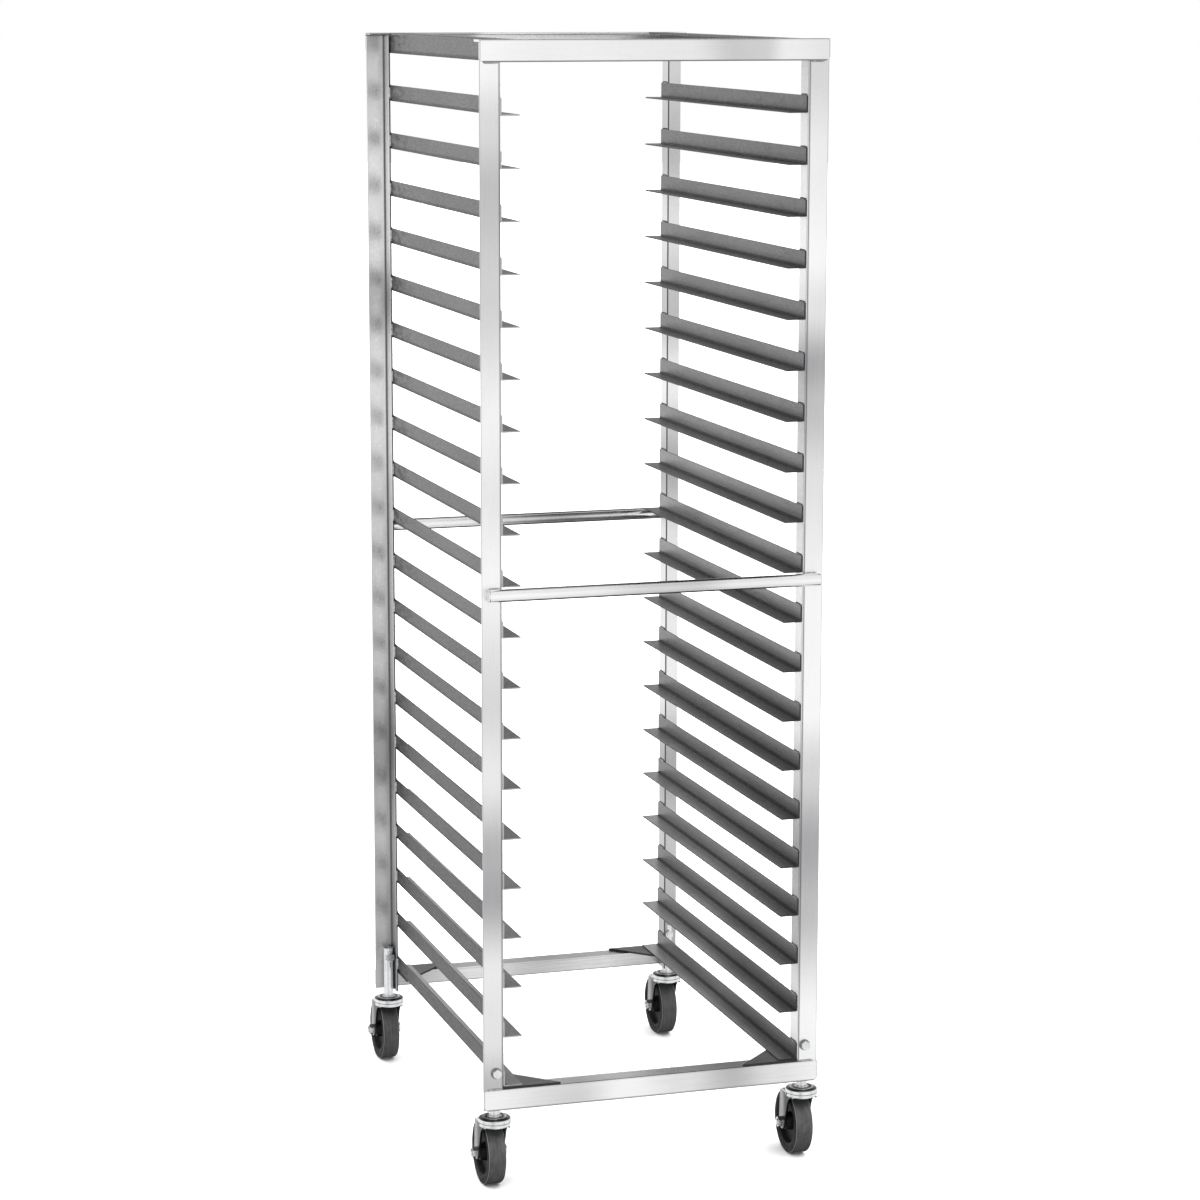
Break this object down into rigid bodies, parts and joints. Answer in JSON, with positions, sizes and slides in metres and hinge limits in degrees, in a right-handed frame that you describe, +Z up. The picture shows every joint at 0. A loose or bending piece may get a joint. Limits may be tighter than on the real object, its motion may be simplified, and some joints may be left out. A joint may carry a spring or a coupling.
{
  "type": "sheet pan rack",
  "caption": "Tall open rack of welded aluminium angle on four swivel casters, with pairs of full-depth ledges that sheet pans slide onto from the front.",
  "frame": {"origin": "on the floor under the middle of the frame of posts", "axes": "+Z up, -Y towards the front where pans go in, +X to the right of someone at the front"},
  "size_m": [0.5491, 0.7739, 1.7182],
  "materials": {
    "aluminium": "mill finish, lightly brushed along the bars",
    "ledge_aluminium": "mill finish, duller and darker than the posts",
    "zinc_plate": "bright zinc plate",
    "fork_steel": "zinc plated pressed steel, dull grey",
    "bearing_steel": "polished balls in grease",
    "wheel_plastic": "matt black moulded core",
    "tyre_rubber": "dark grey smooth rubber tread"
  },
  "bodies": {
    "rack_frame": {"post_front_left": "aluminium", "post_front_right": "aluminium", "post_rear_left": "aluminium", "post_rear_right": "aluminium", "top_rail_front": "aluminium", "top_rail_rear": "aluminium", "top_rail_left": "aluminium", "top_rail_right": "aluminium", "bottom_rail_front": "aluminium", "bottom_rail_rear": "aluminium", "cross_bar_front": "aluminium", "cross_bar_rear": "aluminium", "ledge_pair_01": "ledge_aluminium", "ledge_pair_02": "ledge_aluminium", "ledge_pair_03": "ledge_aluminium", "ledge_pair_04": "ledge_aluminium", "ledge_pair_05": "ledge_aluminium", "ledge_pair_06": "ledge_aluminium", "ledge_pair_07": "ledge_aluminium", "ledge_pair_08": "ledge_aluminium", "ledge_pair_09": "ledge_aluminium", "ledge_pair_10": "ledge_aluminium", "ledge_pair_11": "ledge_aluminium", "ledge_pair_12": "ledge_aluminium", "ledge_pair_13": "ledge_aluminium", "ledge_pair_14": "ledge_aluminium", "ledge_pair_15": "ledge_aluminium", "ledge_pair_16": "ledge_aluminium", "ledge_pair_17": "ledge_aluminium", "ledge_pair_18": "ledge_aluminium", "ledge_pair_19": "ledge_aluminium", "ledge_pair_20": "ledge_aluminium", "corner_gussets": "aluminium", "stem_bolts": "zinc_plate", "stem_nuts": "zinc_plate", "stem_washers": "zinc_plate", "caster_stem_front_left": "zinc_plate", "caster_stem_front_right": "zinc_plate", "caster_stem_rear_left": "zinc_plate", "caster_stem_rear_right": "zinc_plate"},
    "caster_front_left": {"caster_fork_front_left": "fork_steel", "swivel_balls_front_left": "bearing_steel", "wheel_axle_front_left": "zinc_plate"},
    "wheel_front_left": {"wheel_core_front_left": "wheel_plastic", "wheel_tyre_front_left": "tyre_rubber"},
    "caster_front_right": {"caster_fork_front_right": "fork_steel", "swivel_balls_front_right": "bearing_steel", "wheel_axle_front_right": "zinc_plate"},
    "wheel_front_right": {"wheel_core_front_right": "wheel_plastic", "wheel_tyre_front_right": "tyre_rubber"},
    "caster_rear_left": {"caster_fork_rear_left": "fork_steel", "swivel_balls_rear_left": "bearing_steel", "wheel_axle_rear_left": "zinc_plate"},
    "wheel_rear_left": {"wheel_core_rear_left": "wheel_plastic", "wheel_tyre_rear_left": "tyre_rubber"},
    "caster_rear_right": {"caster_fork_rear_right": "fork_steel", "swivel_balls_rear_right": "bearing_steel", "wheel_axle_rear_right": "zinc_plate"},
    "wheel_rear_right": {"wheel_core_rear_right": "wheel_plastic", "wheel_tyre_rear_right": "tyre_rubber"}
  },
  "joints": [
    {"name": "swivel_front_left", "type": "hinge", "parent": "rack_frame", "child": "caster_front_left", "pos_m": [-0.2468, -0.33105, 0.104], "axis": [0, 0, 1], "continuous": true},
    {"name": "swivel_front_right", "type": "hinge", "parent": "rack_frame", "child": "caster_front_right", "pos_m": [0.2468, -0.33105, 0.104], "axis": [0, 0, 1], "continuous": true},
    {"name": "swivel_rear_left", "type": "hinge", "parent": "rack_frame", "child": "caster_rear_left", "pos_m": [-0.2468, 0.33105, 0.104], "axis": [0, 0, 1], "continuous": true},
    {"name": "swivel_rear_right", "type": "hinge", "parent": "rack_frame", "child": "caster_rear_right", "pos_m": [0.2468, 0.33105, 0.104], "axis": [0, 0, 1], "continuous": true},
    {"name": "roll_front_left", "type": "hinge", "parent": "caster_front_left", "child": "wheel_front_left", "pos_m": [-0.2468, -0.30005, 0.05], "axis": [1, 0, 0], "continuous": true},
    {"name": "roll_front_right", "type": "hinge", "parent": "caster_front_right", "child": "wheel_front_right", "pos_m": [0.2468, -0.30005, 0.05], "axis": [1, 0, 0], "continuous": true},
    {"name": "roll_rear_left", "type": "hinge", "parent": "caster_rear_left", "child": "wheel_rear_left", "pos_m": [-0.2468, 0.36205, 0.05], "axis": [1, 0, 0], "continuous": true},
    {"name": "roll_rear_right", "type": "hinge", "parent": "caster_rear_right", "child": "wheel_rear_right", "pos_m": [0.2468, 0.36205, 0.05], "axis": [1, 0, 0], "continuous": true}
  ]
}
